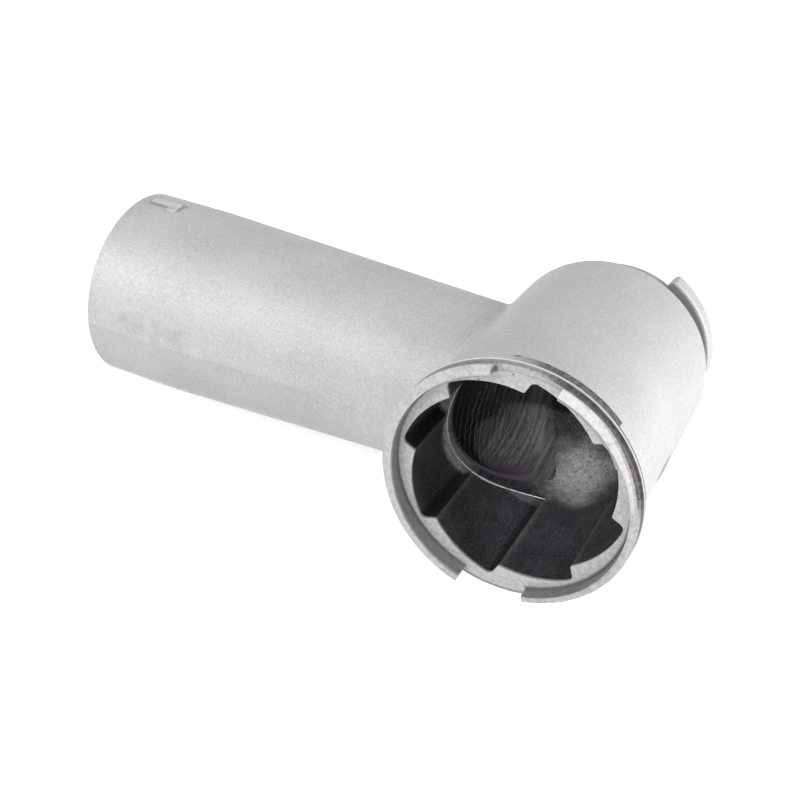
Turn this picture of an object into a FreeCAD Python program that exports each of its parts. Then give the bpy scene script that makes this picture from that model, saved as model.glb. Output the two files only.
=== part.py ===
import FreeCAD, Part
import math
import os

# Meat grinder head, lying on its side, one aluminium casting.
# X runs along the feed tube away from the barrel. Y is the barrel axis, out of the front mouth.
# Z is up. Y = 0 is the flat tooth face of the mouth. Angles go from +X towards +Z. Sizes in mm.

# Barrel
BARREL_LENGTH = 85.4
BARREL_R_REAR = 34.0
BARREL_R_FRONT = 36.4
BARREL_EDGE_R = 1.6

# Feed tube
TUBE_AXIS_Y = -51.8
TUBE_AXIS_Z = -6.0
TUBE_REACH = 162.0
TUBE_SEAT_LENGTH = 27.0
TUBE_R_ROOT = 27.5
TUBE_R_SEAT = 32.2
TUBE_WALL_MOUTH = 2.6
TUBE_WALL_ROOT = 4.2
TUBE_EDGE = 0.6
JUNCTION_FILLET = 2.0

# Grinding chamber
TOOTH_TIP_R = 30.0
CHAMBER_R = 30.6
REAR_WALL = 8.4
DOME_LENGTH = 25.0
THROAT_STEP = 1.0

# Ratchet teeth and the grooves between them
TOOTH_COUNT = 8
TOOTH_DEPTH = 4.2
TOOTH_STEEP_DEG = 3.5
ROOT_FILLET = 2.0
TIP_FILLET = 0.5
GROOVE_DRAFT = 2.0
GROOVE_CLEAR = 0.1
GROOVE_RUNOUT = 0.7
GROOVE_END_NEAR = 37.0
GROOVE_END_AWAY = 56.0

# Front rim: flat tooth face, collar and two raised walls
FACE_R = 35.5
FACE_STEP = 0.35
FACE_EDGE = 0.2
COLLAR_R = 38.7
COLLAR_FRONT = 0.9
COLLAR_LAND = 0.9
COLLAR_EDGE = 0.3
COLLAR_RUNOUT = 0.65
PAD_ARC = (66.0, 134.0)
PAD_LAND = 2.1
PAD_RISE = 0.1
PAD_RUNOUT = 0.3
WALL_HEIGHT = 3.4
WALL_R_INNER = 35.95
WALL_DRAFT = 0.35
WALL_BORE_SHIFT = 0.55
WALL_R_OUTER = 38.6
WALL_UNDERCUT = 0.9
WALL_EDGE = 0.4
WALL_ARCS = ((-73.5, 75.0), (107.0, 255.5))
WALL_LEAN_DEG = 2.4
LEDGE_R = 33.2
LEDGE_HEIGHT = 1.4
LEDGE_DROP = 0.1
LEDGE_ARC = 43.0
RELIEF_AT = 165.0
RELIEF_HALF_DEG = 42.0
RELIEF_DEPTH = 2.0
RELIEF_SLOPE = 1.55
RELIEF_START = 0.1

# Rear neck with the two locking lugs
SHAFT_R = 8.0
NECK_LENGTH = 14.8
NECK_R = 27.0
NECK_WALL = 4.0
NECK_EDGE = 0.5
BEARING_R = 13.0
BEARING_HEIGHT = 5.0
LUG_R = 32.3
LUG_THICK = 6.0
LUG_EDGE = 1.0
LUG_BREAK = 0.4
LUG_CORNER = 3.0
LUG_ARC = (118.5, 184.0)
LUG_COUNT = 2

# Small cast details
SEAM_ARC = (186.0, 199.0)
SEAM_HEIGHT = 0.1
SEAM_START = 41.0
SEAM_RUNOUT = 1.0
SEAM_EDGE = 0.3
SEAM_FLAT = 0.8
KEY_ANGLE = 91.2
KEY_INSET = 13.0
KEY_LENGTH = 7.6
KEY_WIDTH = 2.8
KEY_HEIGHT = 1.1
KEY_HEAD_WIDTH = 5.4
KEY_HEAD_LENGTH = 2.8

# Joining and cutting: overlap of joined solids, reach of cutters past a face, tolerance
SINK = 0.5
OVER = 5.0
TOUCH = 0.01

TUBE_SEAT_START = TUBE_REACH - TUBE_SEAT_LENGTH
TUBE_SLOPE = (TUBE_R_SEAT - TUBE_R_ROOT) / TUBE_SEAT_START
BARREL_SLOPE = (BARREL_R_FRONT - BARREL_R_REAR) / BARREL_LENGTH
REAR_END = BARREL_LENGTH + NECK_LENGTH
CHAMBER_DEPTH = BARREL_LENGTH - REAR_WALL
DOME_START = CHAMBER_DEPTH - DOME_LENGTH
KEY_START = TUBE_REACH - KEY_INSET
WALL_FOOT_R = WALL_R_OUTER - WALL_UNDERCUT
WALL_BASE = -FACE_STEP - SINK
COLLAR_BACK = -COLLAR_FRONT - COLLAR_LAND
ARC_MIDDLE = 1 - math.sqrt(0.5)

V = FreeCAD.Vector
AXIS = V(0, -1, 0)
ORIGIN = V(0, 0, 0)


def at(radius, degrees, y):
    """Point at a radius and an angle about the barrel axis."""
    a = math.radians(degrees)
    return V(radius * math.cos(a), y, radius * math.sin(a))


def barrel_r(y):
    """Outer radius of the drafted barrel at a station along Y."""
    return BARREL_R_REAR + BARREL_SLOPE * (y + BARREL_LENGTH)


def tube_r(x):
    """Outer radius of the feed tube: drafted up to the tray seat, then straight."""
    return TUBE_R_ROOT + TUBE_SLOPE * min(x, TUBE_SEAT_START)


def profile(points):
    """Flat face through (radius, y) points in the XY plane."""
    loop = [V(r, y, 0) for r, y in points]
    return Part.Face(Part.makePolygon(loop + loop[:1]))


def turned(points, start=0.0, end=360.0):
    """Profile swept about the barrel axis from one angle to another."""
    face = profile(points)
    face.rotate(ORIGIN, AXIS, start)
    return face.revolve(ORIGIN, AXIS, end - start)


def half_space(x_sign):
    """Large block on one side of the plane X = 0."""
    big = 4 * BARREL_LENGTH
    corner = V(0 if x_sign > 0 else -big, -big, -big)
    return Part.makeBox(big, 2 * big, 2 * big, corner)


def barrel_blank():
    """Drafted round barrel with a rear edge rounded off in three flats."""
    e = BARREL_EDGE_R
    rear = -BARREL_LENGTH
    outer = barrel_r(rear + e)
    steps = [math.radians(a) for a in (0, 30, 60, 90)]
    edge = [(outer - e + e * math.sin(a), rear + e - e * math.cos(a)) for a in steps]
    return turned([(0, rear)] + edge + [(barrel_r(-COLLAR_FRONT), -COLLAR_FRONT), (0, -COLLAR_FRONT)])


def tube_cone(start, stop, r_start, r_stop):
    """Cone along the feed tube axis."""
    base = V(start, TUBE_AXIS_Y, TUBE_AXIS_Z)
    return Part.makeCone(r_start, r_stop, stop - start, base, V(1, 0, 0))


def tube_blank():
    """Outside of the feed tube with its tray seat and a lightly broken edge at the open end."""
    edge = TUBE_REACH - TUBE_EDGE
    body = tube_cone(0, TUBE_SEAT_START, TUBE_R_ROOT, TUBE_R_SEAT)
    base = V(TUBE_SEAT_START, TUBE_AXIS_Y, TUBE_AXIS_Z)
    seat = Part.makeCylinder(TUBE_R_SEAT, edge - TUBE_SEAT_START, base, V(1, 0, 0))
    nose = tube_cone(edge, TUBE_REACH, TUBE_R_SEAT, TUBE_R_SEAT - TUBE_EDGE)
    return body.fuse([seat, nose])


def junction_edges(shape):
    """Edges where the tube leaves the barrel, told by lying on both surfaces."""
    found = []
    for edge in shape.Edges:
        spots = [edge.valueAt(edge.FirstParameter + t * (edge.LastParameter - edge.FirstParameter))
                 for t in (0.2, 0.5, 0.8)]
        if all(on_tube(p) and on_barrel(p) for p in spots):
            found.append(edge)
    return found


def on_tube(p):
    away = math.hypot(p.y - TUBE_AXIS_Y, p.z - TUBE_AXIS_Z)
    return abs(away - tube_r(p.x)) < TOUCH


def on_barrel(p):
    return abs(math.hypot(p.x, p.z) - barrel_r(p.y)) < TOUCH


def outer_body():
    """Barrel and feed tube joined, with a soft fillet along the crease."""
    body = barrel_blank().fuse(tube_blank())
    edges = junction_edges(body)
    try:
        soft = body.makeFillet(JUNCTION_FILLET, edges)
    except (Part.OCCError, RuntimeError, ValueError):
        return body
    return soft if soft.isValid() and soft.Volume > body.Volume else body


def collar():
    """Low collar behind the tooth face, wider on a pad over the crest of the barrel."""
    root = BARREL_R_FRONT - SINK
    rear = COLLAR_BACK - COLLAR_RUNOUT
    ring = turned([
        (TOOTH_TIP_R - SINK, 0),
        (FACE_R, 0),
        (FACE_R + FACE_EDGE, -FACE_STEP),
        (WALL_FOOT_R, -FACE_STEP),
        (COLLAR_R - COLLAR_EDGE, -COLLAR_FRONT + COLLAR_EDGE),
        (COLLAR_R, -COLLAR_FRONT),
        (COLLAR_R, COLLAR_BACK),
        (root, rear),
        (TOOTH_TIP_R - SINK, rear),
    ])
    pad_rear = COLLAR_BACK - PAD_LAND
    pad = turned([
        (root, -COLLAR_FRONT),
        (COLLAR_R, -COLLAR_FRONT),
        (COLLAR_R + PAD_RISE, COLLAR_BACK),
        (COLLAR_R + PAD_RISE, pad_rear),
        (root, pad_rear - PAD_RUNOUT),
    ], *PAD_ARC)
    return [ring, pad]


def far_wall(start, end):
    """Wall on the side away from the tube: level, leaning outwards, with broken edges."""
    return turned([
        (LEDGE_R, WALL_BASE),
        (LEDGE_R, WALL_HEIGHT),
        (WALL_R_OUTER - WALL_EDGE, WALL_HEIGHT),
        (WALL_R_OUTER, WALL_HEIGHT - WALL_EDGE),
        (WALL_FOOT_R, 0),
        (WALL_FOOT_R, WALL_BASE),
    ], start, end)


def near_wall(start, end):
    """Wall on the tube side: level above the barrel axis, rising towards its lower end."""
    reach = 2 * WALL_R_OUTER
    rise = math.tan(math.radians(WALL_LEAN_DEG))
    tall = WALL_HEIGHT + rise * reach
    body = turned([
        (LEDGE_R, WALL_BASE),
        (LEDGE_R, tall),
        (WALL_R_OUTER, tall),
        (WALL_R_OUTER, WALL_HEIGHT - WALL_EDGE),
        (WALL_FOOT_R, 0),
        (WALL_FOOT_R, WALL_BASE),
    ], start, end)
    above = [V(-reach, WALL_HEIGHT, reach), V(-reach, WALL_HEIGHT, 0), V(-reach, tall, -reach),
             V(-reach, 2 * tall, -reach), V(-reach, 2 * tall, reach)]
    face = Part.Face(Part.makePolygon(above + above[:1]))
    return body.cut(face.extrude(V(2 * reach, 0, 0)))


def wall_bore():
    """Bore inside both walls, cut a little below the barrel axis and opening outwards."""
    slope = WALL_DRAFT / WALL_HEIGHT
    r_base = WALL_R_INNER - slope * (WALL_HEIGHT - WALL_BASE)
    r_top = WALL_R_INNER + slope * OVER
    height = WALL_HEIGHT + OVER - WALL_BASE
    return Part.makeCone(r_base, r_top, height, V(0, WALL_BASE, -WALL_BORE_SHIFT), V(0, 1, 0))


def ledge():
    """Sloping ledge inside the far wall, next to the gap."""
    start = WALL_ARCS[1][0]
    top = WALL_HEIGHT - LEDGE_DROP
    return turned([
        (LEDGE_R, WALL_BASE),
        (LEDGE_R, LEDGE_HEIGHT),
        (WALL_R_INNER - WALL_BORE_SHIFT, top),
        (WALL_R_INNER + SINK, top),
        (WALL_R_INNER + SINK, WALL_BASE),
    ], start, start + LEDGE_ARC)


def relief():
    """Off-centre cone that bevels the outer edge of the far wall over a part of its arc."""
    half = math.radians(RELIEF_HALF_DEG)
    shift = RELIEF_DEPTH / (1 - math.cos(half))
    r_top = WALL_R_OUTER - RELIEF_DEPTH + shift
    r_base = r_top + RELIEF_SLOPE * (WALL_HEIGHT - RELIEF_START)
    height = WALL_HEIGHT + SINK - RELIEF_START
    centre = at(-shift, RELIEF_AT, RELIEF_START)
    core = Part.makeCone(r_base, r_top - RELIEF_SLOPE * SINK, height, centre, V(0, 1, 0))
    ring = Part.makeCylinder(WALL_R_OUTER + OVER, height, V(0, RELIEF_START, 0), V(0, 1, 0))
    return ring.cut(core)


def rim_walls():
    """The two raised arcs that the ring nut hooks behind."""
    near, far = WALL_ARCS
    bore = wall_bore()
    return [near_wall(*near).cut(bore), far_wall(*far).cut([bore, relief()]), ledge()]


def lug(start, end):
    """One locking lug of the rear neck, rounded at its outer corners."""
    back = -REAR_END
    front = back + LUG_THICK
    inner = NECK_R - SINK
    soft = ARC_MIDDLE * LUG_EDGE
    ring = turned([
        (inner, back),
        (LUG_R - LUG_BREAK, back),
        (LUG_R, back + LUG_BREAK),
        (LUG_R, front - LUG_EDGE),
        (LUG_R - soft, front - soft),
        (LUG_R - LUG_EDGE, front),
        (inner, front),
    ])
    return ring.common(lug_outline(start, end, back - OVER, front + OVER))


def lug_outline(start, end, back, front):
    """Block with the outline of a disc sector whose two outer corners are rounded."""
    r = LUG_R + SINK
    root = r - LUG_CORNER
    inset = math.degrees(LUG_CORNER / root)
    corner_r = r - ARC_MIDDLE * LUG_CORNER
    corner_a = at(corner_r, start + ARC_MIDDLE * inset, back)
    corner_b = at(corner_r, end - ARC_MIDDLE * inset, back)
    side_a, tip_a = at(root, start, back), at(r, start + inset, back)
    side_b, tip_b = at(root, end, back), at(r, end - inset, back)
    centre = V(0, back, 0)
    edges = [
        Part.makeLine(centre, side_a),
        Part.Arc(side_a, corner_a, tip_a).toShape(),
        Part.Arc(tip_a, at(r, 0.5 * (start + end), back), tip_b).toShape(),
        Part.Arc(tip_b, corner_b, side_b).toShape(),
        Part.makeLine(side_b, centre),
    ]
    return Part.Face(Part.Wire(edges)).extrude(V(0, front - back, 0))


def rear_neck():
    """Round skirt behind the barrel, the bearing boss inside it and the locking lugs."""
    front = -BARREL_LENGTH + SINK
    back = -REAR_END
    inner = NECK_R - NECK_WALL
    skirt = turned([
        (inner, front),
        (NECK_R, front),
        (NECK_R, back + NECK_EDGE),
        (NECK_R - NECK_EDGE, back),
        (inner, back),
    ])
    boss_back = -BARREL_LENGTH - BEARING_HEIGHT
    boss = turned([(0, front), (BEARING_R, front), (BEARING_R, boss_back), (0, boss_back)])
    step = 360.0 / LUG_COUNT
    lugs = [lug(LUG_ARC[0] + i * step, LUG_ARC[1] + i * step) for i in range(LUG_COUNT)]
    return [skirt, boss] + lugs


def seam_pad():
    """Low pad along the parting line on the far side of the barrel."""
    front = -SEAM_START
    full = front - SEAM_RUNOUT
    rear = -BARREL_LENGTH + SEAM_EDGE
    top = barrel_r(rear) + SEAM_HEIGHT
    inner = BARREL_R_REAR - 2 * BARREL_EDGE_R
    return turned([
        (inner, rear),
        (top - SEAM_EDGE, rear),
        (top, rear + SEAM_EDGE),
        (barrel_r(full) + SEAM_HEIGHT, full),
        (barrel_r(front) - SINK, front),
        (inner, front),
    ], *SEAM_ARC)


def seam_flat():
    """Shallow flat that carries on from the pad to the collar."""
    angle = 0.5 * (SEAM_ARC[0] + SEAM_ARC[1])
    length = SEAM_START + COLLAR_BACK - COLLAR_RUNOUT
    half = 0.5 * BARREL_R_FRONT
    low = barrel_r(-SEAM_START) - SEAM_FLAT
    block = Part.makeBox(OVER, length, 2 * half, V(low, -SEAM_START, -half))
    block.rotate(V(low, -SEAM_START, 0), V(0, 0, 1), -math.degrees(math.atan(BARREL_SLOPE)))
    block.rotate(ORIGIN, AXIS, angle)
    return block


def tube_key():
    """Small locating key with a cross head on top of the feed tube near its open end."""
    foot = tube_r(KEY_START) - SINK
    top = tube_r(KEY_START) + KEY_HEIGHT
    bar = Part.makeBox(KEY_LENGTH, KEY_WIDTH, top - foot, V(KEY_START, -KEY_WIDTH / 2, foot))
    head = Part.makeBox(KEY_HEAD_LENGTH, KEY_HEAD_WIDTH, top - foot,
                        V(KEY_START - KEY_HEAD_LENGTH, -KEY_WIDTH / 2, foot))
    key = bar.fuse(head).removeSplitter()
    key.rotate(ORIGIN, V(1, 0, 0), KEY_ANGLE - 90)
    key.translate(V(0, TUBE_AXIS_Y, TUBE_AXIS_Z))
    return key


def chamber():
    """Round grinding chamber, closed at the back by a dome with a flat end."""
    front = WALL_HEIGHT + OVER
    throat = turned([
        (0, front),
        (TOOTH_TIP_R, front),
        (TOOTH_TIP_R, -GROOVE_END_NEAR),
        (CHAMBER_R, -GROOVE_END_NEAR - THROAT_STEP),
        (CHAMBER_R, -DOME_START),
        (0, -DOME_START),
    ])
    ball = Part.makeSphere(CHAMBER_R, V(0, -DOME_START, 0), V(0, 1, 0))
    span = 2 * CHAMBER_R
    depth = CHAMBER_DEPTH - DOME_START
    slab = Part.makeBox(2 * span, depth, 2 * span, V(-span, -CHAMBER_DEPTH, -span))
    return throat.fuse(ball.common(slab))


def runs_along(edge, radius):
    """True for a straight edge parallel to Y at the given radius."""
    ends = [v.Point for v in edge.Vertexes]
    if len(ends) != 2 or abs(ends[0].y - ends[1].y) < TOUCH:
        return False
    return all(abs(math.hypot(p.x, p.z) - radius) < TOUCH for p in ends)


def ratchet_prism(front, back):
    """Saw-toothed prism whose outline is the inside of the mouth."""
    pitch = 360.0 / TOOTH_COUNT
    root = TOOTH_TIP_R + TOOTH_DEPTH
    edges = []
    for i in range(TOOTH_COUNT):
        low_at = i * pitch + TOOTH_STEEP_DEG
        half = 0.5 * (low_at + (i + 1) * pitch)
        low = at(root, low_at, front)
        mid = at(TOOTH_TIP_R + 0.5 * TOOTH_DEPTH, half, front)
        edges.append(Part.makeLine(at(TOOTH_TIP_R, i * pitch, front), low))
        edges.append(Part.Arc(low, mid, at(TOOTH_TIP_R, (i + 1) * pitch, front)).toShape())
    body = Part.Face(Part.Wire(edges)).extrude(V(0, back - front, 0))
    for radius, fillet in ((root, ROOT_FILLET), (TOOTH_TIP_R, TIP_FILLET)):
        body = body.makeFillet(fillet, [e for e in body.Edges if runs_along(e, radius)])
    return body


def groove_envelope(end):
    """Drafted body of revolution that the grooves run out against at the given depth."""
    front = WALL_HEIGHT + 2 * OVER
    root = TOOTH_TIP_R + TOOTH_DEPTH + GROOVE_CLEAR
    return turned([
        (0, front),
        (root, front),
        (root, 0),
        (root - GROOVE_DRAFT, -GROOVE_END_NEAR + GROOVE_RUNOUT),
        (TOOTH_TIP_R - SINK, -end),
        (0, -end),
    ])


def grooves():
    """Grooves behind the teeth: short on the tube side, where they stop at the wall of
    the feed tube, and fading into the dome on the other side."""
    prism = ratchet_prism(WALL_HEIGHT + OVER, -GROOVE_END_AWAY)
    stop = BARREL_R_FRONT + OVER
    tube_wall = tube_cone(0, stop, tube_r(0), tube_r(stop))
    near = prism.common(groove_envelope(GROOVE_END_NEAR)).common(half_space(1)).cut(tube_wall)
    away = prism.common(groove_envelope(GROOVE_END_AWAY)).common(half_space(-1))
    return [near, away]


def feed_bore():
    """Tapered passage through the feed tube into the chamber."""
    root = TUBE_R_ROOT - TUBE_WALL_ROOT
    mouth = TUBE_R_SEAT - TUBE_WALL_MOUTH
    slope = (mouth - root) / TUBE_REACH
    stop = TUBE_REACH + OVER
    bore = tube_cone(0, stop, root, mouth + slope * OVER)
    flare = tube_cone(TUBE_REACH - TUBE_EDGE, stop, mouth - slope * TUBE_EDGE, mouth + TUBE_EDGE + OVER)
    return bore.fuse(flare)


def shaft_hole():
    """Hole through the rear wall and the bearing boss for the auger shaft."""
    depth = CHAMBER_DEPTH - OVER
    length = BARREL_LENGTH + BEARING_HEIGHT + OVER - depth
    return Part.makeCylinder(SHAFT_R, length, V(0, -depth, 0), AXIS)


def housing():
    solids = collar() + [seam_pad(), tube_key()] + rim_walls() + rear_neck()
    body = outer_body().cut(seam_flat()).multiFuse(solids)
    return body.cut([chamber(), feed_bore(), shaft_hole()] + grooves()).removeSplitter()


os.makedirs("parts", exist_ok=True)
part = housing()
if len(part.Solids) == 1:
    part = part.Solids[0]
part.exportStep("parts/housing.step")
box = part.BoundBox
print("solids", len(part.Solids), "valid", part.isValid(), "volume cm3", round(part.Volume / 1000, 2))
print("box", [round(v, 2) for v in (box.XMin, box.XMax, box.YMin, box.YMax, box.ZMin, box.ZMax)])
print("faces", len(part.Faces))
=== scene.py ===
# %% [markdown]
# # Meat grinder head, one die casting
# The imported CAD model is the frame: one body with one node, `housing`. The casting has the right
# form already, so it keeps its place and its mesh. This script gives it the surface of a
# bead-blasted aluminium casting that has been used, the small marks that die and tool leave on it,
# and a table, light and camera.

# %% Load the frame
import math

import bmesh
import bpy
from mathutils import Matrix, Vector


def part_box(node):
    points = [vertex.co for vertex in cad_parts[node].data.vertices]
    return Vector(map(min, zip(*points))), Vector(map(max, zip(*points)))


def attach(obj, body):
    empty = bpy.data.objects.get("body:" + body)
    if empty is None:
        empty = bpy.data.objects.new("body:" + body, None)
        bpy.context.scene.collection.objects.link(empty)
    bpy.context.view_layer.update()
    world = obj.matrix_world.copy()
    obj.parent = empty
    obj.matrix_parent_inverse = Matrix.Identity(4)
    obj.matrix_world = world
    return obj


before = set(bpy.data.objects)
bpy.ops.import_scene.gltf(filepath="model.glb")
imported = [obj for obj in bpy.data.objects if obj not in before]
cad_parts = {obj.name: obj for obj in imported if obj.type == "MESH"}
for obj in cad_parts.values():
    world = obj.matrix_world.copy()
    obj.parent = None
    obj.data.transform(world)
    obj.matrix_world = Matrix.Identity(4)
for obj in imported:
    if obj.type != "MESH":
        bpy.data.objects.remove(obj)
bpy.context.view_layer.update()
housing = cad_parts["housing"]
MM = 0.001
print("vertices", len(housing.data.vertices))

# %% [markdown]
# ## Sizes that the marks need
# Marks on a casting follow its surfaces, so they are worked out from the same cones and cylinders
# as the casting: the feed tube about its own axis, the grinding chamber about the barrel axis.
# X runs along the feed tube, Y out of the mouth and Z up. Everything is in metres.

# %% Sizes of the casting
AXIS_Y = -51.8 * MM
AXIS_Z = -6.0 * MM
TUBE_REACH = 162.0 * MM
SEAT_START = 135.0 * MM
TUBE_R_ROOT = 27.5 * MM
TUBE_R_SEAT = 32.2 * MM
TUBE_SLOPE = (TUBE_R_SEAT - TUBE_R_ROOT) / SEAT_START
BORE_R_ROOT = 23.3 * MM
BORE_R_MOUTH = 29.6 * MM
BORE_SLOPE = (BORE_R_MOUTH - BORE_R_ROOT) / TUBE_REACH
THROAT_R = 30.0 * MM
BARREL_LENGTH = 85.4 * MM
BARREL_R_FRONT = 36.4 * MM
BARREL_R_REAR = 34.0 * MM
BARREL_SLOPE = (BARREL_R_FRONT - BARREL_R_REAR) / BARREL_LENGTH
low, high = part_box("housing")
print("reach of the tube against the box", round((high[0] - TUBE_REACH) / MM, 3), "mm")

# %% [markdown]
# ## The table
# The head lies on its side and touches the table at three places: the rim, the open end of the
# tube and the back of the barrel. The real table is the face of the convex hull below the centre
# of mass, so the floor is laid through that face and the head stands on it without a gap.

# %% Find the plane the head rests on
def flat_side(u, v, p):
    return (v.x - u.x) * (p.y - u.y) - (v.y - u.y) * (p.x - u.x)


def centre_of_mass(bm):
    volume, centre = 0.0, Vector()
    for f in bm.faces:
        a, b, c = (v.co for v in f.verts)
        part = a.dot(b.cross(c)) / 6
        volume += part
        centre += part * (a + b + c) / 4
    return centre / volume


def resting_plane(mesh):
    bm = bmesh.new()
    bm.from_mesh(mesh)
    bmesh.ops.triangulate(bm, faces=bm.faces)
    centre = centre_of_mass(bm)
    hull = bmesh.ops.convex_hull(bm, input=bm.verts, use_existing_faces=False)
    for f in hull["geom"]:
        if not isinstance(f, bmesh.types.BMFace) or abs(f.normal.z) < 0.9:
            continue
        a, b, c = (v.co.copy() for v in f.verts[:3])
        n = f.normal.copy() if f.normal.z > 0 else -f.normal
        low = a.z - (n.x * (centre.x - a.x) + n.y * (centre.y - a.y)) / n.z
        signs = [flat_side(a, b, centre), flat_side(b, c, centre), flat_side(c, a, centre)]
        if low < centre.z and (max(signs) <= 0 or min(signs) >= 0):
            bm.free()
            return n, Vector((centre.x, centre.y, low))
    raise RuntimeError("no resting face found")


normal, spot = resting_plane(housing.data)
tilt = Vector((0, 0, 1)).rotation_difference(normal)
print("table tilt, degrees", round(math.degrees(tilt.angle), 2))

# %% Lay the floor
def add_object(name, data):
    obj = bpy.data.objects.new(name, data)
    bpy.context.scene.collection.objects.link(obj)
    return obj


FLOOR_REACH = 4.0
floor_mesh = bpy.data.meshes.new("floor")
place = Matrix.Translation(spot) @ tilt.to_matrix().to_4x4()
signs = ((-1, -1), (1, -1), (1, 1), (-1, 1))
corners = [place @ Vector((x * FLOOR_REACH, y * FLOOR_REACH, 0)) for x, y in signs]
floor_mesh.from_pydata(corners, [], [(0, 1, 2, 3)])
floor = add_object("floor", floor_mesh)
print("floor height under the barrel, mm", round(spot.z / MM, 2))

# %% [markdown]
# ## Camera
# The view is the one of a product photo: from above the mouth, a little to the side away from
# the feed tube, with a moderate lens. The three directions are the camera's own axes.

# %% Set the camera
RIGHT = Vector((-0.89614, -0.43723, 0.07594))
UP = Vector((0.29181, -0.45164, 0.84313))
BACK = Vector((-0.33435, 0.77772, 0.53232))
EYE = Vector((-87.31, 287.002, 211.774)) * MM
cam_data = bpy.data.cameras.new("camera")
cam_data.sensor_width = 36.0
cam_data.lens = 58.265
cam_data.clip_start = 0.01
cam = add_object("camera", cam_data)
cam.matrix_world = Matrix.Translation(EYE) @ Matrix((RIGHT, UP, BACK)).transposed().to_4x4()
bpy.context.scene.camera = cam
print("distance to the mouth, mm", round(EYE.length / MM))

# %% [markdown]
# ## Node helpers
# Materials and Geometry Nodes trees are both graphs of small steps. These helpers add one step and
# return its output, so that a formula reads like a formula. They work in both kinds of tree,
# because the maths and the noise nodes are the same ones.

# %% Helpers that add a node
def feed(tree, socket, value):
    if isinstance(value, bpy.types.NodeSocket):
        tree.links.new(value, socket)
    else:
        socket.default_value = value


def step(tree, kind, inputs=(), **settings):
    node = tree.nodes.new(kind)
    for name, value in settings.items():
        setattr(node, name, value)
    for key, value in dict(inputs).items():
        feed(tree, node.inputs[key], value)
    return node


print("node helpers ready")

# %% Helpers for maths
def maths(tree, kind, *values):
    return step(tree, "ShaderNodeMath", enumerate(values), operation=kind).outputs[0]


def total(tree, first, *rest):
    for value in rest:
        first = maths(tree, "ADD", first, value)
    return first


def product(tree, first, *rest):
    for value in rest:
        first = maths(tree, "MULTIPLY", first, value)
    return first


def length_of(tree, a, b):
    return maths(tree, "SQRT", maths(tree, "ADD", product(tree, a, a), product(tree, b, b)))


print("maths helpers ready")

# %% Helpers for masks and patterns
def ramp(tree, value, low, high):
    """Smooth rise from 0 at low to 1 at high, or a fall where low is the larger one."""
    sockets = {"Value": value, "From Min": low, "From Max": high}
    return step(tree, "ShaderNodeMapRange", sockets, interpolation_type="SMOOTHSTEP").outputs[0]


def band(tree, value, start, stop, soft):
    """1 between start and stop, with soft ends."""
    return product(tree, ramp(tree, value, start - soft, start), ramp(tree, value, stop + soft, stop))


def noise(tree, vector, scale, detail=3.0, rough=0.55):
    sockets = {"Vector": vector, "Scale": scale, "Detail": detail, "Roughness": rough}
    return step(tree, "ShaderNodeTexNoise", sockets).outputs[0]


def combine(tree, x, y, z):
    return step(tree, "ShaderNodeCombineXYZ", {"X": x, "Y": y, "Z": z}).outputs[0]


print("mask helpers ready")

# %% Helpers for colours
def mix_color(tree, factor, a, b):
    node = step(tree, "ShaderNodeMix", {0: factor, 6: a, 7: b}, data_type="RGBA")
    return node.outputs[2]


def warm(value, amount=0.03):
    """A grey that leans a little to yellow, as cast aluminium does."""
    return (value, value * (1 - 0.5 * amount), value * (1 - amount), 1)


def violet(value, amount=0.12):
    """A purplish grey, used for the painted shade inside the chamber and the feed bore."""
    return (value, value * (1 - amount), value * (1 + 0.6 * amount), 1)


def new_material(name):
    mat = bpy.data.materials.new(name)
    mat.use_nodes = True
    return mat, mat.node_tree, mat.node_tree.nodes["Principled BSDF"]


print("colour helpers ready")

# %% [markdown]
# ## Where the surface lies
# One material covers the whole casting, so it has to know where it is. Object coordinates are the
# casting's own metres: the distance from the barrel axis tells the chamber from the outside, and
# the distance from the tube axis tells the feed bore. An angle about each axis places the marks
# that sit on one side only.

# %% Coordinates of the casting
casting, tree, bsdf = new_material("casting")
coords = tree.nodes.new("ShaderNodeTexCoord").outputs["Object"]
x, y, z = step(tree, "ShaderNodeSeparateXYZ", {0: coords}).outputs
barrel_radius = length_of(tree, x, z)
barrel_angle = maths(tree, "DEGREES", maths(tree, "ARCTAN2", z, x))
ty = total(tree, y, -AXIS_Y)
tz = total(tree, z, -AXIS_Z)
tube_radius = length_of(tree, ty, tz)
tube_angle = maths(tree, "DEGREES", maths(tree, "ARCTAN2", tz, ty))
print("coordinate nodes", len(tree.nodes))

# %% Masks for the chamber and the feed bore
BARREL_SKIN = 1.4 * MM
TUBE_SKIN = 1.2 * MM
CHAMBER_END = -80.0 * MM
TUBE_LIP = 0.8 * MM
wall_middle = maths(tree, "MULTIPLY_ADD", y, BARREL_SLOPE, BARREL_R_FRONT - BARREL_SKIN)
in_chamber = product(
    tree,
    maths(tree, "LESS_THAN", barrel_radius, wall_middle),
    ramp(tree, y, -0.3 * MM, -1.2 * MM),
    maths(tree, "GREATER_THAN", y, CHAMBER_END),
)
bore_limit = maths(tree, "MULTIPLY_ADD", x, BORE_SLOPE, BORE_R_ROOT + TUBE_SKIN)
in_bore = product(
    tree,
    maths(tree, "LESS_THAN", tube_radius, bore_limit),
    maths(tree, "GREATER_THAN", x, 0.0),
    maths(tree, "LESS_THAN", x, TUBE_REACH - TUBE_LIP),
)
inside = maths(tree, "MAXIMUM", in_chamber, in_bore)
print("mask nodes", len(tree.nodes))

# %% [markdown]
# ## Bead-blasted skin
# The outside was blasted with fine glass beads: matt, pale and slightly sparkling. A real skin has
# three scales, and each gets a noise of its own: clouds a few centimetres wide, a mottle of about a
# millimetre, and a grain near the size of the beads. The grain also drives the bump. A last noise
# leaves a few dark pores, where gas came out of the metal.

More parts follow.
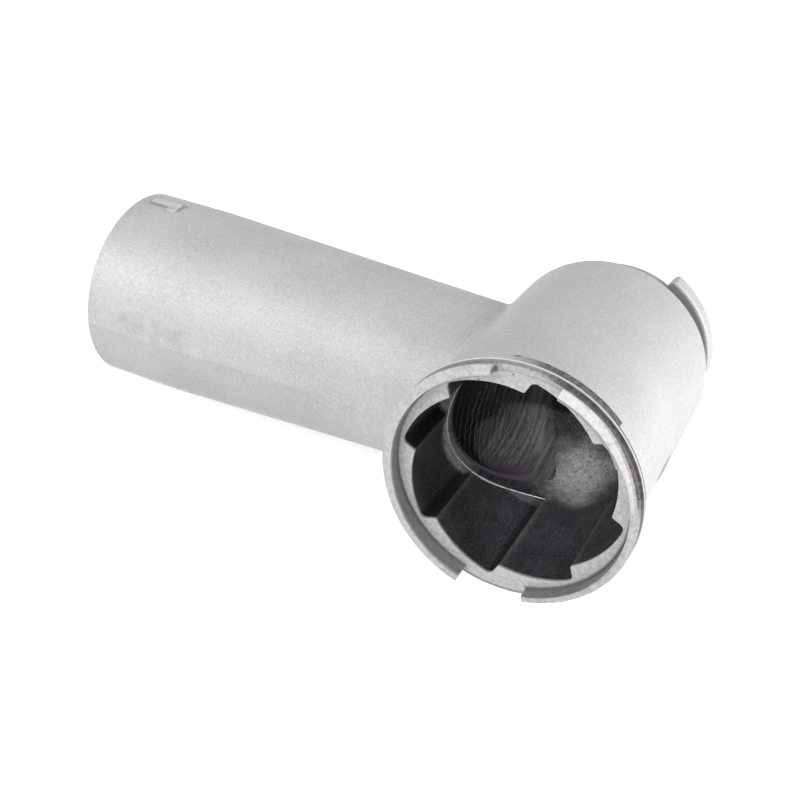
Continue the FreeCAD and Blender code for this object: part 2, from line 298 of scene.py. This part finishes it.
# %% Outside skin
CLOUD_SCALE, MOTTLE_SCALE, GRAIN_SCALE, PORE_SCALE = 45, 700, 2300, 560
clouds = noise(tree, coords, CLOUD_SCALE, 3, 0.5)
mottle = noise(tree, coords, MOTTLE_SCALE, 3, 0.6)
grain = noise(tree, coords, GRAIN_SCALE, 3, 0.65)
skin = mix_color(tree, ramp(tree, clouds, 0.30, 0.70), warm(0.57), warm(0.63))
skin = mix_color(tree, product(tree, ramp(tree, mottle, 0.35, 0.75), 0.45), skin, warm(0.72))
pores = ramp(tree, noise(tree, coords, PORE_SCALE, 2, 0.5), 0.765, 0.785)
skin = mix_color(tree, product(tree, pores, 0.6), skin, warm(0.20))
speck = ramp(tree, grain, 0.36, 0.66)
skin = mix_color(tree, product(tree, ramp(tree, grain, 0.48, 0.28), 0.55), skin, warm(0.34))
skin = mix_color(tree, product(tree, ramp(tree, grain, 0.55, 0.72), 0.65), skin, warm(0.92))
print("skin nodes", len(tree.nodes))

# %% [markdown]
# ## Marks on the feed tube
# The front of the tube below the die joint is painted a shade darker as shade, with the edge at the die
# joint.
# Handling left a smudge near the open end. Painted shade sits round the small key on top, and its top gets
# a painted highlight.

# %% Tube marks
LOWER_HALF = (-40, -3)
# Painted shade: the front of the tube below the die joint is darkened a little.
below_joint = product(tree, band(tree, tube_angle, *LOWER_HALF, 1.2), ramp(tree, x, 58 * MM, 86 * MM))
skin = mix_color(tree, product(tree, below_joint, 0.12), skin, warm(0.10))
SMUDGE_X = (127 * MM, 146 * MM)
SMUDGE_ARC = (1, 10)
smudge = product(tree, band(tree, x, *SMUDGE_X, 7 * MM), band(tree, tube_angle, *SMUDGE_ARC, 5))
smudge = product(tree, smudge, ramp(tree, noise(tree, coords, 170, 3, 0.6), 0.35, 0.65))
skin = mix_color(tree, product(tree, smudge, 0.22), skin, warm(0.12))
print("joint and smudge nodes", len(tree.nodes))

# %% Painted shade and highlight at the key
KEY_X = (145.4 * MM, 157.4 * MM)
KEY_ARC = (88.0, 98.0)
KEY_TOP_R = 33.0 * MM
at_key = product(tree, band(tree, x, *KEY_X, 0.4 * MM), band(tree, tube_angle, *KEY_ARC, 0.9))
# Painted shade round the foot of the key.
key_shade = product(tree, at_key, ramp(tree, tube_radius, KEY_TOP_R, KEY_TOP_R - 0.5 * MM))
skin = mix_color(tree, product(tree, key_shade, 0.35), skin, warm(0.10))
# Painted highlight on the top of the key.
key_highlight = product(tree, at_key, ramp(tree, tube_radius, KEY_TOP_R, KEY_TOP_R + 0.2 * MM))
skin = mix_color(tree, product(tree, key_highlight, 0.4), skin, warm(0.90))
print("tube mark nodes", len(tree.nodes))

# %% [markdown]
# ## Rear neck
# The neck between the barrel and the locking lugs, and the front faces of the lugs, lie behind the
# barrel and are darkened as painted shadow.

# %% Painted shadow on the neck and lugs
LUG_FRONT = -94.2 * MM
LUG_EDGE_R = 31.2 * MM
behind_barrel = ramp(tree, y, -BARREL_LENGTH + 0.5 * MM, -BARREL_LENGTH - 1.5 * MM)
# Painted shadow of the barrel on the neck and on the lugs' front faces.
neck_shadow = product(tree, behind_barrel, ramp(tree, barrel_radius, 31.6 * MM, 28.5 * MM))
skin = mix_color(tree, product(tree, neck_shadow, 0.35), skin, warm(0.14, 0.05))
at_front = band(tree, y, LUG_FRONT - 0.5 * MM, LUG_FRONT + 0.2 * MM, 0.3 * MM)
lug_face_shadow = product(tree, at_front, ramp(tree, barrel_radius, LUG_EDGE_R + 0.8 * MM, LUG_EDGE_R))
skin = mix_color(tree, product(tree, lug_face_shadow, 0.6), skin, warm(0.16, 0.05))
print("neck nodes", len(tree.nodes))

# %% [markdown]
# ## Painted shade in the chamber
# The inside of the chamber and the feed bore is painted dark as shade, with a violet cast; paler
# patches of painted light follow further down. The die was polished along the barrel axis, so faint
# streaks run that way, and the feed bore was turned, so its streaks run round it. Each streak is a
# noise stretched along its direction.

# %% Inside of the chamber
def streaks(tree, x, y, z, scale):
    return noise(tree, combine(tree, x, y, z), scale, 3, 0.6)


along_barrel = streaks(tree, x, product(tree, y, 0.10), z, 800)
around_bore = streaks(tree, x, product(tree, ty, 0.06), product(tree, tz, 0.06), 1100)
inside_cloud = noise(tree, coords, 130, 3, 0.6)
inside_shade_and_light = mix_color(tree, ramp(tree, along_barrel, 0.35, 0.70), violet(0.024, 0.16), violet(0.042, 0.16))
inside_shade_and_light = mix_color(tree, product(tree, ramp(tree, inside_cloud, 0.42, 0.70), 0.6), inside_shade_and_light, violet(0.075, 0.10))
inside_shade_and_light = mix_color(tree, product(tree, ramp(tree, grain, 0.46, 0.70), 0.7), inside_shade_and_light, violet(0.18, 0.05))
bore_tone = mix_color(tree, ramp(tree, around_bore, 0.38, 0.66), violet(0.07, 0.06), warm(0.22, 0.06))
bore_tone = mix_color(tree, product(tree, ramp(tree, grain, 0.46, 0.70), 0.5), bore_tone, warm(0.34, 0.05))
# The lower back side of the bore near the throat is painted a plain, darker violet shade.
lower_bore_shade = product(tree, band(tree, tube_angle, -160, -95, 25), ramp(tree, x, 45 * MM, 22 * MM))
bore_shade = mix_color(tree, lower_bore_shade, violet(0.13, 0.12), bore_tone)
print("inside shade nodes", len(tree.nodes))

# %% [markdown]
# ## Grooves between the teeth
# Eight grooves run in from the mouth. The corner at the steep side of each is painted black as shade,
# and the tip before it gets a paler line as a painted highlight. The phase is how far a point is past
# the last tip, in degrees about the barrel axis. The upper grooves on the tube side get little light,
# so their tone is a shade paler.

# %% Groove corners and tips
TOOTH_COUNT = 8
pitch = 360.0 / TOOTH_COUNT
phase = step(tree, "ShaderNodeMath", {0: barrel_angle, 1: pitch, 2: 0.0}, operation="WRAP").outputs[0]
behind_tip = band(tree, phase, 0.6, 4.0, 3.0)
deep = ramp(tree, barrel_radius, THROAT_R + 0.1 * MM, THROAT_R + 0.5 * MM)
# Painted shade in the corner at the steep side of each groove.
corner_shade = product(tree, behind_tip, deep)
# Painted highlight along each tooth tip.
tip_highlight = product(tree, ramp(tree, phase, pitch - 4.0, pitch - 0.8), ramp(tree, mottle, 0.10, 0.55))
front_part = ramp(tree, y, -46 * MM, -34 * MM)
inside_shade_and_light = mix_color(tree, product(tree, corner_shade, front_part, 0.85), inside_shade_and_light, violet(0.013, 0.2))
upper = product(tree, ramp(tree, z, 2 * MM, 12 * MM), ramp(tree, x, 5 * MM, 15 * MM), deep)
inside_shade_and_light = mix_color(tree, product(tree, upper, 0.5), inside_shade_and_light, violet(0.14, 0.12))
inside_shade_and_light = mix_color(tree, product(tree, tip_highlight, front_part, 0.55), inside_shade_and_light, warm(0.16, 0.04))
inside_shade_and_light = mix_color(tree, in_bore, inside_shade_and_light, bore_shade)
print("groove nodes", len(tree.nodes))

# %% [markdown]
# ## Painted light in the chamber
# A pool of light is painted on the chamber floor just before the dome, and a highlight on the flank of
# the feed throat. Each patch is a distance from a point or from the tube's wall, made uneven by the
# clouds of the inside.

# %% Painted light on the floor and flank
LIT_PATCH_AT = Vector((-7.0, -56.0, -29.0)) * MM
PATCH_REACH, PATCH_CORE = 28 * MM, 11 * MM
FLANK_R = 28.6 * MM
# Painted pool of light on the chamber floor.
gap = step(tree, "ShaderNodeVectorMath", {0: coords, 1: LIT_PATCH_AT}, operation="DISTANCE").outputs["Value"]
patch_edge = maths(tree, "MULTIPLY_ADD", inside_cloud, 16 * MM, gap)
lit_patch = product(tree, ramp(tree, patch_edge, PATCH_REACH, PATCH_CORE), ramp(tree, mottle, 0.05, 0.60))
not_bore = maths(tree, "SUBTRACT", 1.0, in_bore)
lit_patch = product(tree, lit_patch, not_bore)
lit_patch_tone = mix_color(tree, ramp(tree, grain, 0.35, 0.62), warm(0.46, 0.05), warm(0.85, 0.05))
inside_shade_and_light = mix_color(tree, lit_patch, inside_shade_and_light, lit_patch_tone)
# Painted highlight on the flank of the feed throat.
flank_light = product(tree, ramp(tree, tube_radius, FLANK_R + 2.2 * MM, FLANK_R), ramp(tree, x, 20 * MM, 26 * MM))
flank_light = product(tree, flank_light, not_bore, ramp(tree, mottle, 0.15, 0.60))
inside_shade_and_light = mix_color(tree, product(tree, flank_light, 0.8), inside_shade_and_light, warm(0.45, 0.05))
print("chamber nodes", len(tree.nodes))

# %% [markdown]
# ## Worn rim, with painted shade and highlights
# The ring nut and the cutting plate rub the rim in use, so the tooth face in front of the chamber is
# duller and has a few pits. Painted shade darkens the foot of each wall, but not the two gaps between
# the walls, and the groove outside the walls at the level of the face. The tops of the walls get a
# painted highlight, strongest at the upper end of the far wall. The near wall rises as it goes down, so its
# top is found from a plane that rises too.

# %% Tooth face
on_rim = ramp(tree, y, -1.6 * MM, -0.6 * MM)
face_tone = mix_color(tree, ramp(tree, mottle, 0.30, 0.70), warm(0.40, 0.05), warm(0.60, 0.05))
skin = mix_color(tree, product(tree, on_rim, 0.75), skin, face_tone)
PIT_SCALE = 620
pits = product(tree, on_rim, ramp(tree, noise(tree, coords, PIT_SCALE, 2, 0.5), 0.70, 0.74))
skin = mix_color(tree, pits, skin, warm(0.08))
print("face nodes", len(tree.nodes))

# %% Rim walls
WALL_HEIGHT = 3.4 * MM
WALL_LEAN = 2.4
WALL_RISE = math.tan(math.radians(WALL_LEAN))
WALL_FOOT = (35.2 * MM, 36.4 * MM)
TOP_GAP = (77.0, 106.0)
LOW_GAP = (-104.0, -74.5)
below_axis = maths(tree, "MINIMUM", z, 0.0)
from_top = total(tree, y, -WALL_HEIGHT, product(tree, below_axis, WALL_RISE))
# Painted shade along the foot of each wall, but not in the gaps between the walls.
foot_shade = band(tree, barrel_radius, *WALL_FOOT, 0.5 * MM)
top_gap = band(tree, barrel_angle, *TOP_GAP, 1.0)
low_gap = band(tree, barrel_angle, *LOW_GAP, 1.0)
walled = maths(tree, "SUBTRACT", 1.0, maths(tree, "MAXIMUM", top_gap, low_gap))
foot_shade = product(tree, foot_shade, ramp(tree, from_top, -0.3 * MM, -1.2 * MM), on_rim, walled)
skin = mix_color(tree, product(tree, foot_shade, 0.65), skin, warm(0.10, 0.06))
# Painted shade in the groove outside the walls, at the level of the face.
groove_shade = ramp(tree, barrel_radius, 37.2 * MM, 37.7 * MM)
groove_shade = product(tree, groove_shade, band(tree, y, -0.5 * MM, 0.6 * MM, 0.8 * MM))
skin = mix_color(tree, product(tree, groove_shade, 0.6), skin, warm(0.12, 0.06))
# Painted highlight on the tops of the walls, strongest at the upper end of the far wall.
wall_top_highlight = product(tree, ramp(tree, from_top, -0.35 * MM, -0.05 * MM), ramp(tree, mottle, 0.10, 0.50))
highlight_end = product(tree, ramp(tree, x, 12 * MM, 4 * MM), ramp(tree, z, 0.0, 18 * MM))
wear_and_highlight = maths(tree, "MULTIPLY_ADD", highlight_end, 0.65, 0.15)
skin = mix_color(tree, product(tree, wall_top_highlight, wear_and_highlight), skin, warm(0.88, 0.04))
print("wall nodes", len(tree.nodes))

# %% [markdown]
# ## Stained collar
# The ring nut grinds black oxide into the collar behind the rim walls, most of all over the crest of
# the barrel. The stain is a band in Y and in angle, broken up by the mottle. A painted highlight runs
# along the collar's front edge, and black chips sit where the skin is gone.

# %% Stain on the collar
COLLAR_ROOT_R = 36.55 * MM
COLLAR_BACK = -3.9 * MM
STAIN_FRONT = 2.6 * MM
CREST_ARC = (102, 160)
outer_rim = maths(tree, "GREATER_THAN", barrel_radius, COLLAR_ROOT_R)
collar_zone = product(tree, outer_rim, band(tree, y, COLLAR_BACK, STAIN_FRONT, 0.3 * MM))
behind_edge = ramp(tree, y, -1.0 * MM, -1.4 * MM)
crest = maths(tree, "MAXIMUM", band(tree, barrel_angle, 112, 160, 24), product(tree, behind_edge, 0.9))
crest = product(tree, crest, band(tree, barrel_angle, *CREST_ARC, 26))
grit = maths(tree, "MULTIPLY_ADD", ramp(tree, grain, 0.35, 0.60), 0.45, 0.55)
stain_tone = mix_color(tree, ramp(tree, mottle, 0.30, 0.70), warm(0.07, 0.10), warm(0.20, 0.10))
stain = product(tree, collar_zone, crest, grit)
skin = mix_color(tree, maths(tree, "MINIMUM", product(tree, stain, 1.35), 1.0), skin, stain_tone)
print("stain nodes", len(tree.nodes))

# %% Painted highlight on the front edge, and black chips
CHIP_ARC = (72, 128)
# Painted highlight along the collar's front edge.
front_edge_highlight = product(tree, outer_rim, band(tree, y, -1.15 * MM, -0.75 * MM, 0.12 * MM))
skin = mix_color(tree, product(tree, front_edge_highlight, 0.75), skin, warm(0.80, 0.04))
flakes = noise(tree, coords, 420, 2, 0.5)
chip_edge = band(tree, y, COLLAR_BACK, COLLAR_BACK + 0.5 * MM, 0.5 * MM)
chip_arc = band(tree, barrel_angle, *CHIP_ARC, 10)
chips = product(tree, outer_rim, chip_edge, chip_arc, ramp(tree, flakes, 0.54, 0.62))
skin = mix_color(tree, product(tree, chips, 0.9), skin, warm(0.03))
print("collar nodes", len(tree.nodes))

# %% Finish the casting material
# The inside takes the painted shade and light worked out above; the outside keeps the skin.
feed(tree, bsdf.inputs["Base Color"], mix_color(tree, inside, skin, inside_shade_and_light))
bsdf.inputs["Metallic"].default_value = 0.32
matt = maths(tree, "MULTIPLY_ADD", speck, -0.10, 0.60)
feed(tree, bsdf.inputs["Roughness"], matt)
height = total(tree, product(tree, grain, 0.6), product(tree, mottle, 0.4))
bump = step(tree, "ShaderNodeBump", {"Strength": 0.55, "Distance": 0.25 * MM, "Height": height})
feed(tree, bsdf.inputs["Normal"], bump.outputs[0])
housing.data.materials.clear()
housing.data.materials.append(casting)
print("casting nodes", len(tree.nodes))

# %% [markdown]
# ## Bare metal
# The throat lip and its ledge are bright against the dark inside. The small raised marks below use
# this finish: the same alloy, lighter and a little smoother, with a fine grain.

# %% Bare metal material
def bare_metal(name, light, dull, rough):
    mat, tree, bsdf = new_material(name)
    coords = tree.nodes.new("ShaderNodeTexCoord").outputs["Object"]
    wear_and_highlight = ramp(tree, noise(tree, coords, 900, 3, 0.6), 0.35, 0.65)
    feed(tree, bsdf.inputs["Base Color"], mix_color(tree, wear_and_highlight, warm(dull), warm(light)))
    bsdf.inputs["Metallic"].default_value = 0.30
    feed(tree, bsdf.inputs["Roughness"], maths(tree, "MULTIPLY_ADD", wear_and_highlight, -0.12, rough))
    fine = noise(tree, coords, 2600, 2, 0.6)
    bump = step(tree, "ShaderNodeBump", {"Strength": 0.3, "Distance": 0.1 * MM, "Height": fine})
    feed(tree, bsdf.inputs["Normal"], bump.outputs[0])
    return mat


bright_edge = bare_metal("bright_edge", 0.80, 0.42, 0.50)
scored_metal = bare_metal("scored_metal", 0.50, 0.22, 0.55)
blasted_ridge = bare_metal("blasted_ridge", 0.70, 0.55, 0.60)
print("bare metals", bright_edge.name, scored_metal.name, blasted_ridge.name)

# %% [markdown]
# ## Marks made by rule
# The lip round the feed throat, the tool marks in the bore and the lines left by the die all follow
# the casting's own surfaces. They could be drawn point by point, but a Geometry Nodes tree works
# them out from the same radii and keeps following when a size changes. Every tree starts with a
# plain line, moves its points onto a surface by a formula, and sweeps a small round section along.

# %% Helpers for trees
def new_tree(name, sizes):
    tree = bpy.data.node_groups.new(name, "GeometryNodeTree")
    for label, value in sizes.items():
        kind = "NodeSocketInt" if isinstance(value, int) else "NodeSocketFloat"
        socket = tree.interface.new_socket(label, in_out="INPUT", socket_type=kind)
        socket.default_value = value
    tree.interface.new_socket("Geometry", in_out="OUTPUT", socket_type="NodeSocketGeometry")
    return tree, tree.nodes.new("NodeGroupInput").outputs


def sweep(tree, curve, position, thickness, material):
    """Move a curve's points, sweep a round section along it and finish the tree."""
    moved = step(tree, "GeometryNodeSetPosition", {"Geometry": curve, "Position": position})
    sized = step(tree, "GeometryNodeSetCurveRadius", {"Curve": moved.outputs[0], "Radius": thickness})
    section = step(tree, "GeometryNodeCurvePrimitiveCircle", {"Resolution": 6, "Radius": 1.0})
    sockets = {"Curve": sized.outputs[0], "Profile Curve": section.outputs[0], "Fill Caps": True}
    swept = step(tree, "GeometryNodeCurveToMesh", sockets)
    if "Scale" in swept.inputs:
        radius = tree.nodes.new("GeometryNodeInputRadius").outputs[0]
        feed(tree, swept.inputs["Scale"], radius)
    real = step(tree, "GeometryNodeRealizeInstances", {"Geometry": swept.outputs[0]})
    sockets = {"Geometry": real.outputs[0], "Material": material}
    dressed = step(tree, "GeometryNodeSetMaterial", sockets)
    step(tree, "NodeGroupOutput", {"Geometry": dressed.outputs[0]})


print("sweep helper ready")

# %% Helpers for points along a line
def line_of_points(tree, count):
    """Straight line with a number of points, and how far along it each point is."""
    line = step(tree, "GeometryNodeCurvePrimitiveLine", {"End": (1, 0, 0)})
    points = step(tree, "GeometryNodeResampleCurve", {"Curve": line.outputs[0], "Count": count})
    along = tree.nodes.new("GeometryNodeSplineParameter").outputs["Factor"]
    return points.outputs[0], along


def between(tree, along, start, stop):
    return total(tree, start, product(tree, along, maths(tree, "SUBTRACT", stop, start)))


print("line helpers ready")

# %% Helper that runs a tree
def grow(name, tree, sizes):
    """Run a tree once and keep what it makes as a plain mesh on the casting's body."""
    carrier = add_object(name + "_carrier", bpy.data.meshes.new(name + "_carrier"))
    modifier = carrier.modifiers.new("grow", "NODES")
    modifier.node_group = tree
    for item in tree.interface.items_tree:
        if item.in_out == "INPUT":
            modifier[item.identifier] = sizes[item.name]
    depsgraph = bpy.context.evaluated_depsgraph_get()
    mesh = bpy.data.meshes.new_from_object(carrier.evaluated_get(depsgraph))
    carrier.modifiers.remove(modifier)
    bpy.data.objects.remove(carrier)
    mesh.name = name
    mesh.shade_smooth()
    piece = add_object(name, mesh)
    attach(piece, "root")
    print(name, len(mesh.polygons), "faces")
    return piece


print("tree runner ready")

# %% [markdown]
# ## Lip of the feed throat
# Where the wall of the feed tube breaks through the chamber, the die left a thin raised lip. It is
# the line where a cone about the tube axis meets a cylinder about the barrel axis. A point at the
# angle t about the tube axis has its Y and Z from the cone, and X follows from the cylinder. The
# cone's radius grows with X, so the formula runs three times and settles. The same tree draws the
# ledge below the lip, where the radius gains a little on the way.

# %% Tree of the throat lip
lip_sizes = {
    "Points": 90,
    "Start": math.radians(33.0),
    "End": math.radians(-68.0),
    "Cone radius": TUBE_R_ROOT,
    "Cone slope": TUBE_SLOPE,
    "Cylinder radius": THROAT_R - 0.05 * MM,
    "Radius gain": 0.0,
    "Axis Y": AXIS_Y,
    "Axis Z": AXIS_Z,
    "Thickness": 0.24 * MM,
}
tree, given = new_tree("throat lip", lip_sizes)
points, along = line_of_points(tree, given["Points"])
turn = between(tree, along, given["Start"], given["End"])
sine, cosine = maths(tree, "SINE", turn), maths(tree, "COSINE", turn)
cylinder_r = maths(tree, "MULTIPLY_ADD", along, given["Radius gain"], given["Cylinder radius"])
reach_x = cylinder_r
for _ in range(3):
    cone_r = maths(tree, "MULTIPLY_ADD", reach_x, given["Cone slope"], given["Cone radius"])
    lip_y = maths(tree, "MULTIPLY_ADD", cone_r, cosine, given["Axis Y"])
    lip_z = maths(tree, "MULTIPLY_ADD", cone_r, sine, given["Axis Z"])
    square = product(tree, cylinder_r, cylinder_r)
    reach_x = maths(tree, "SQRT", maths(tree, "SUBTRACT", square, product(tree, lip_z, lip_z)))
lip_at = combine(tree, reach_x, lip_y, lip_z)
uneven = noise(tree, lip_at, 420, 2, 0.5)
thickness = product(tree, given["Thickness"], maths(tree, "MULTIPLY_ADD", uneven, 1.2, 0.4))
sweep(tree, points, lip_at, thickness, bright_edge)
grow("throat_lip", tree, lip_sizes)

# %% Ledge below the lip
ledge_sizes = dict(lip_sizes, Start=math.radians(-31.0), End=math.radians(-61.0))
ledge_sizes["Radius gain"] = 2.1 * MM
grow("throat_ledge", tree, ledge_sizes)

# %% [markdown]
# ## Tool marks in the feed bore
# The bore was cleaned up with a turning tool near the throat, which leaves a fine helix. The tree
# winds the line round the bore, moves it on by one pitch in each turn, and lets it wander a little.
# A noise swells and starves the section, so that the marks break up into arcs, and they are deepest
# on the side that the tool leaned against.

# %% Tree of the tool marks
score_sizes = {
    "Points": 2400,
    "Turns": 15.0,
    "Facing": math.radians(-136.0),
    "First X": 14.0 * MM,
    "Last X": 38.0 * MM,
    "Bore radius": BORE_R_ROOT + 0.05 * MM,
    "Bore slope": BORE_SLOPE,
    "Axis Y": AXIS_Y,
    "Axis Z": AXIS_Z,
    "Thickness": 0.22 * MM,
    "Wander": 0.9 * MM,
}
tree, given = new_tree("tool marks", score_sizes)
points, along = line_of_points(tree, given["Points"])
turn = product(tree, along, given["Turns"], 2 * math.pi)
score_x = between(tree, along, given["First X"], given["Last X"])
bore_r = maths(tree, "MULTIPLY_ADD", score_x, given["Bore slope"], given["Bore radius"])
score_y = maths(tree, "MULTIPLY_ADD", bore_r, maths(tree, "COSINE", turn), given["Axis Y"])
score_z = maths(tree, "MULTIPLY_ADD", bore_r, maths(tree, "SINE", turn), given["Axis Z"])
drift = maths(tree, "SUBTRACT", noise(tree, combine(tree, score_x, 0.0, 0.0), 700, 2, 0.5), 0.5)
score_at = combine(tree, maths(tree, "MULTIPLY_ADD", drift, given["Wander"], score_x), score_y, score_z)
broken = ramp(tree, noise(tree, score_at, 190, 2, 0.5), 0.44, 0.60)
facing = maths(tree, "COSINE", maths(tree, "SUBTRACT", turn, given["Facing"]))
swell = product(tree, given["Thickness"], broken, ramp(tree, facing, 0.45, 0.90))
swell = maths(tree, "MAXIMUM", swell, 0.02 * MM)
sweep(tree, points, score_at, swell, scored_metal)
grow("tool_marks", tree, score_sizes)

# %% [markdown]
# ## Lines left by the die
# The two halves of the die meet along the feed tube, and metal that chilled early leaves a faint
# curved seam on its front. Each line is drawn flat, with X along the tube and Y as an angle, and
# the tree wraps it onto the tube's cone, a little sunk in, so that only its back shows.

# %% Tree of the die lines
def die_line_tree():
    sizes = {
        "Points": 80,
        "Start X": 0.0, "Start angle": 0.0,
        "Middle X": 0.0, "Middle angle": 0.0,
        "End X": 0.0, "End angle": 0.0,
        "Thickness": 0.0,
        "Tube radius": 0.0, "Tube slope": 0.0, "Seat start": 0.0,
        "Axis Y": 0.0, "Axis Z": 0.0,
    }
    tree, given = new_tree("die line", sizes)
    ends = {}
    for label in ("Start", "Middle", "End"):
        ends[label] = combine(tree, given[label + " X"], given[label + " angle"], 0.0)
    bend = step(tree, "GeometryNodeCurveQuadraticBezier", {"Resolution": given["Points"], **ends})
    flat = tree.nodes.new("GeometryNodeInputPosition").outputs[0]
    line_x, turn, _ = step(tree, "ShaderNodeSeparateXYZ", {0: flat}).outputs
    taper = maths(tree, "MINIMUM", line_x, given["Seat start"])
    tube_r = maths(tree, "MULTIPLY_ADD", taper, given["Tube slope"], given["Tube radius"])
    line_y = maths(tree, "MULTIPLY_ADD", tube_r, maths(tree, "COSINE", turn), given["Axis Y"])
    line_z = maths(tree, "MULTIPLY_ADD", tube_r, maths(tree, "SINE", turn), given["Axis Z"])
    along = tree.nodes.new("GeometryNodeSplineParameter").outputs["Factor"]
    fade = product(tree, ramp(tree, along, 0.0, 0.2), ramp(tree, along, 1.0, 0.8))
    thickness = product(tree, given["Thickness"], maths(tree, "MULTIPLY_ADD", fade, 0.8, 0.2))
    sweep(tree, bend.outputs[0], combine(tree, line_x, line_y, line_z), thickness, blasted_ridge)
    return tree


die_line = die_line_tree()
print("die line tree nodes", len(die_line.nodes))

# %% Draw the die lines
SUNK = 0.08 * MM
tube_form = {
    "Points": 80,
    "Tube radius": TUBE_R_ROOT - SUNK, "Tube slope": TUBE_SLOPE, "Seat start": SEAT_START,
    "Axis Y": AXIS_Y, "Axis Z": AXIS_Z,
}


def draw_die_line(name, start, middle, end, thickness):
    """Each of the three points is a distance along the tube in mm and an angle in degrees."""
    sizes = dict(tube_form, Thickness=thickness)
    for label, (x_mm, degrees) in (("Start", start), ("Middle", middle), ("End", end)):
        sizes[label + " X"] = x_mm * MM
        sizes[label + " angle"] = math.radians(degrees)
    return grow(name, die_line, sizes)


draw_die_line("cold_seam", (76, 2.0), (60, -2.5), (50, 14.0), 0.16 * MM)
draw_die_line("cold_seam_end", (135, 13.0), (126, 2.0), (131, -11.0), 0.14 * MM)
draw_die_line("die_joint_front", (158, -3.0), (116, -2.0), (48, 1.0), 0.13 * MM)
draw_die_line("die_joint_back", (158, 182.0), (116, 181.0), (40, 180.0), 0.13 * MM)

# %% [markdown]
# ## Floor surface and surroundings
# The photo stands on pure white. The floor keeps a plain light grey for everything that it lights.
# A glow is added to it for what the camera sees, directly or as a reflection in the metal, so the
# backdrop is white and the contact shadow stays. The world lights the casting at a plain level and is
# lifted to white for the camera.

# %% Floor
FLOOR_GLOW = 0.60
floor_mat, ftree, fbsdf = new_material("floor")
fbsdf.inputs["Base Color"].default_value = warm(0.80, 0.0)
fbsdf.inputs["Roughness"].default_value = 0.9
fbsdf.inputs["Specular IOR Level"].default_value = 0.0
path = ftree.nodes.new("ShaderNodeLightPath").outputs
seen = maths(ftree, "MAXIMUM", path["Is Camera Ray"], path["Is Glossy Ray"])
glow = step(ftree, "ShaderNodeEmission", {"Strength": product(ftree, seen, FLOOR_GLOW)})
both = step(ftree, "ShaderNodeAddShader", {0: fbsdf.outputs[0], 1: glow.outputs[0]})
feed(ftree, ftree.nodes["Material Output"].inputs["Surface"], both.outputs[0])
floor.data.materials.append(floor_mat)
print("floor glow", FLOOR_GLOW)

# %% World
AMBIENT = 0.56
world = bpy.data.worlds.new("world")
bpy.context.scene.world = world
world.use_nodes = True
wtree = world.node_tree
bg = wtree.nodes["Background"]
seen = wtree.nodes.new("ShaderNodeLightPath").outputs["Is Camera Ray"]
feed(wtree, bg.inputs["Strength"], maths(wtree, "MULTIPLY_ADD", seen, 1.0 - AMBIENT, AMBIENT))
bg.inputs["Color"].default_value = warm(1.0, 0.0)
print("ambient", AMBIENT)

# %% [markdown]
# ## Lamps
# Most of the light comes evenly from all round, as in a light tent. Two square lamps stand for soft
# boxes: the key lights the tube and the mouth from the front, and the side lamp brightens the
# barrel's far flank. A narrow one looks into the mouth, as a photographer adds for a deep hollow.

# %% Lamps
def look_at(lamp, aim):
    lamp.rotation_euler = (Vector(aim) - lamp.location).to_track_quat("-Z", "Y").to_euler()


def soft_box(name, place, size, power):
    data = bpy.data.lights.new(name, "AREA")
    data.shape = "SQUARE"
    data.size = size
    data.energy = power
    lamp = add_object(name, data)
    lamp.location = place
    look_at(lamp, AIM)


def beam(name, place, aim, degrees, power):
    data = bpy.data.lights.new(name, "SPOT")
    data.spot_size = math.radians(degrees)
    data.spot_blend = 0.8
    data.shadow_soft_size = 0.012
    data.energy = power
    lamp = add_object(name, data)
    lamp.location = place
    look_at(lamp, aim)


AIM = (0.04, -0.04, 0.0)
LAMPS = (
    ("key", (0.50, 0.50, 0.40), 0.45, 2.8),
    ("side", (-0.66, -0.08, 0.24), 0.45, 4.0),
)
for name, place, size, power in LAMPS:
    soft_box(name, place, size, power)
beam("chamber", (-0.05, 0.56, 0.40), (0.0, 0.0, -0.001), 4.8, 17.0)
bpy.context.scene.view_settings.view_transform = "Standard"
print("lamps", len(LAMPS))

# %% Finish
print("finished")
